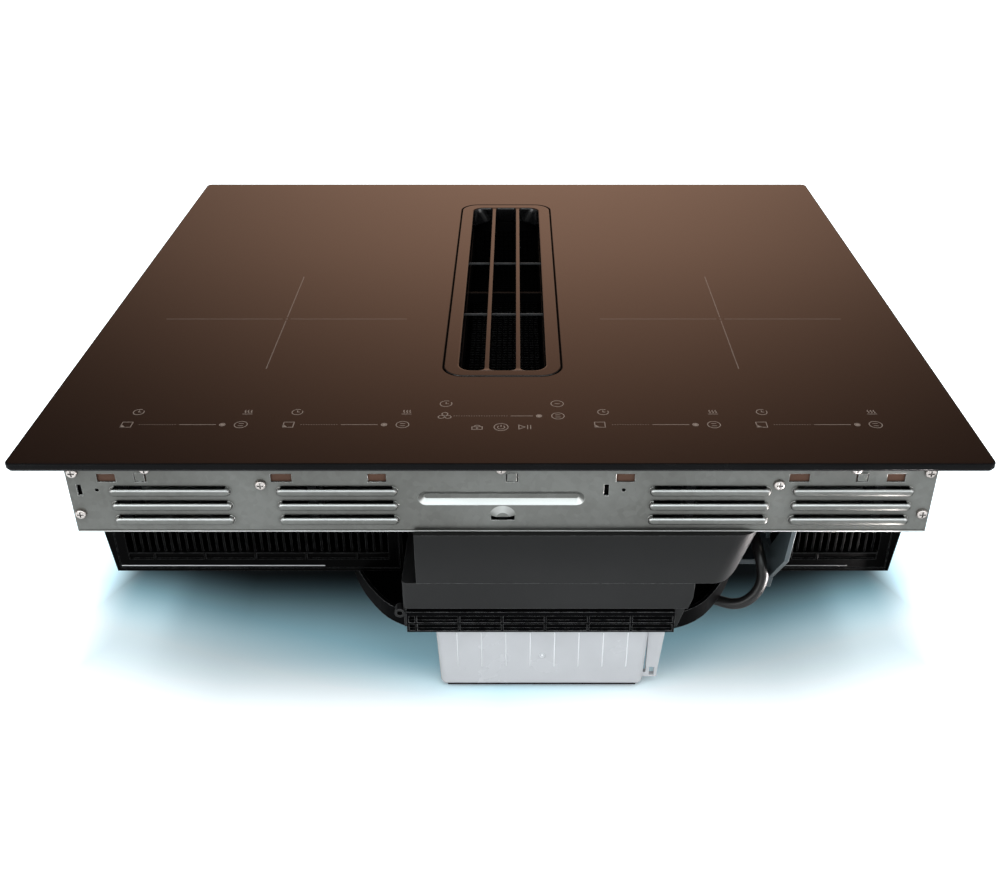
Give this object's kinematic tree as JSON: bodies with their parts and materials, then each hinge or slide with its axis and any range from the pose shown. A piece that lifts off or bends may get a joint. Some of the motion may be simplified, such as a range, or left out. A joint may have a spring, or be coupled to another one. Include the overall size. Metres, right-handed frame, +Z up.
{
  "type": "downdraft induction cooktop",
  "caption": "Glass induction cooktop with a flush vent grille, louvred steel case and a fan unit, filter boxes and water tank under it.",
  "frame": {"origin": "under the middle of the glass, on the surface that the appliance is set down on", "axes": "+X to the right, -Y to the front where the controls are, +Z up"},
  "size_m": [0.59, 0.52, 0.21],
  "materials": {
    "glass_ceramic": "opaque dark brown-black ceramic glass, polished",
    "seal_rubber": "matte foam",
    "vent_black": "polished black",
    "well_black": "fine moulded texture",
    "filter_steel": "expanded mesh",
    "case_steel": "galvanised, satin",
    "screw_steel": "bright",
    "spring_steel": "bright",
    "coil_copper": "enamelled litz wire",
    "carrier_plastic": "moulded",
    "tray_aluminium": "mill finish",
    "mica": "brown insulation sheet",
    "board_green": "circuit board",
    "fan_black": "moulded",
    "housing_grey": "satin dark grey",
    "dish_black": "satin black",
    "motor_metal": "powder coated",
    "shaft_steel": "ground",
    "filter_black": "satin black",
    "carbon_foam": "carbon foam",
    "tank_clear": "translucent moulded plastic",
    "lead_rubber": "satin cable sheath",
    "bracket_black": "glass-filled plastic"
  },
  "bodies": {
    "root": {"glass_top": "glass_ceramic", "glass_seal": "seal_rubber", "intake_well": "well_black", "case_tray": "case_steel", "front_panel": "case_steel", "panel_screws": "screw_steel", "worktop_springs": "spring_steel", "touch_board": "board_green", "touch_carrier": "carrier_plastic", "terminal_box": "well_black", "terminal_cover": "well_black", "mains_gland": "fan_black", "upper_fan_housing": "housing_grey", "inlet_ring": "housing_grey", "lower_fan_housing": "housing_grey", "bottom_dish": "dish_black", "fan_motor": "motor_metal", "rear_duct": "dish_black", "duct_spigot": "dish_black", "tank_rails": "dish_black", "drain_tube": "fan_black", "fan_lead": "lead_rubber", "lead_grommet": "seal_rubber", "junction_box": "bracket_black", "support_bracket": "bracket_black", "housing_screws": "screw_steel", "coil_tray_left": "tray_aluminium", "coil_tray_right": "tray_aluminium", "insulation_sheet_left": "mica", "insulation_sheet_right": "mica", "power_board_left": "board_green", "power_board_right": "board_green", "heat_sink_left": "tray_aluminium", "heat_sink_right": "tray_aluminium", "cooling_fan_frame_left": "fan_black", "cooling_fan_frame_right": "fan_black", "filter_box_left": "filter_black", "filter_box_right": "filter_black", "induction_coil_front_left": "coil_copper", "coil_carrier_front_left": "carrier_plastic", "induction_coil_front_right": "coil_copper", "coil_carrier_front_right": "carrier_plastic", "induction_coil_rear_left": "coil_copper", "coil_carrier_rear_left": "carrier_plastic", "induction_coil_rear_right": "coil_copper", "coil_carrier_rear_right": "carrier_plastic"},
    "grease_filter": {"filter_frame": "well_black", "filter_mesh": "filter_steel"},
    "grille": {"vent_grille": "vent_black"},
    "tank": {"water_tank": "tank_clear", "tank_clip": "tank_clear"},
    "cassette_left": {"filter_cassette_left": "filter_black", "filter_pad_left": "carbon_foam"},
    "cassette_right": {"filter_cassette_right": "filter_black", "filter_pad_right": "carbon_foam"},
    "impeller": {"fan_impeller": "fan_black", "motor_shaft": "shaft_steel"},
    "rotor_left": {"cooling_rotor_left": "fan_black"},
    "rotor_right": {"cooling_rotor_right": "fan_black"}
  },
  "joints": [
    {"name": "filter_lift", "type": "slide", "parent": "root", "child": "grease_filter", "axis": [0, 0, 1], "range_m": [0, 0.075]},
    {"name": "grille_lift", "type": "slide", "parent": "grease_filter", "child": "grille", "axis": [0, 0, 1], "range_m": [0, 0.045]},
    {"name": "tank_slide", "type": "slide", "parent": "root", "child": "tank", "axis": [0, -1, 0], "range_m": [0, 0.122]},
    {"name": "cassette_left_slide", "type": "slide", "parent": "root", "child": "cassette_left", "axis": [0, -1, 0], "range_m": [0, 0.108]},
    {"name": "cassette_right_slide", "type": "slide", "parent": "root", "child": "cassette_right", "axis": [0, -1, 0], "range_m": [0, 0.108]},
    {"name": "impeller_spin", "type": "hinge", "parent": "root", "child": "impeller", "pos_m": [0.029, -0.12, 0.072], "axis": [0, 0, 1], "continuous": true},
    {"name": "rotor_left_spin", "type": "hinge", "parent": "root", "child": "rotor_left", "pos_m": [-0.222, 0.15, 0.15], "axis": [0, 0, 1], "continuous": true},
    {"name": "rotor_right_spin", "type": "hinge", "parent": "root", "child": "rotor_right", "pos_m": [0.222, 0.15, 0.15], "axis": [0, 0, 1], "continuous": true}
  ]
}
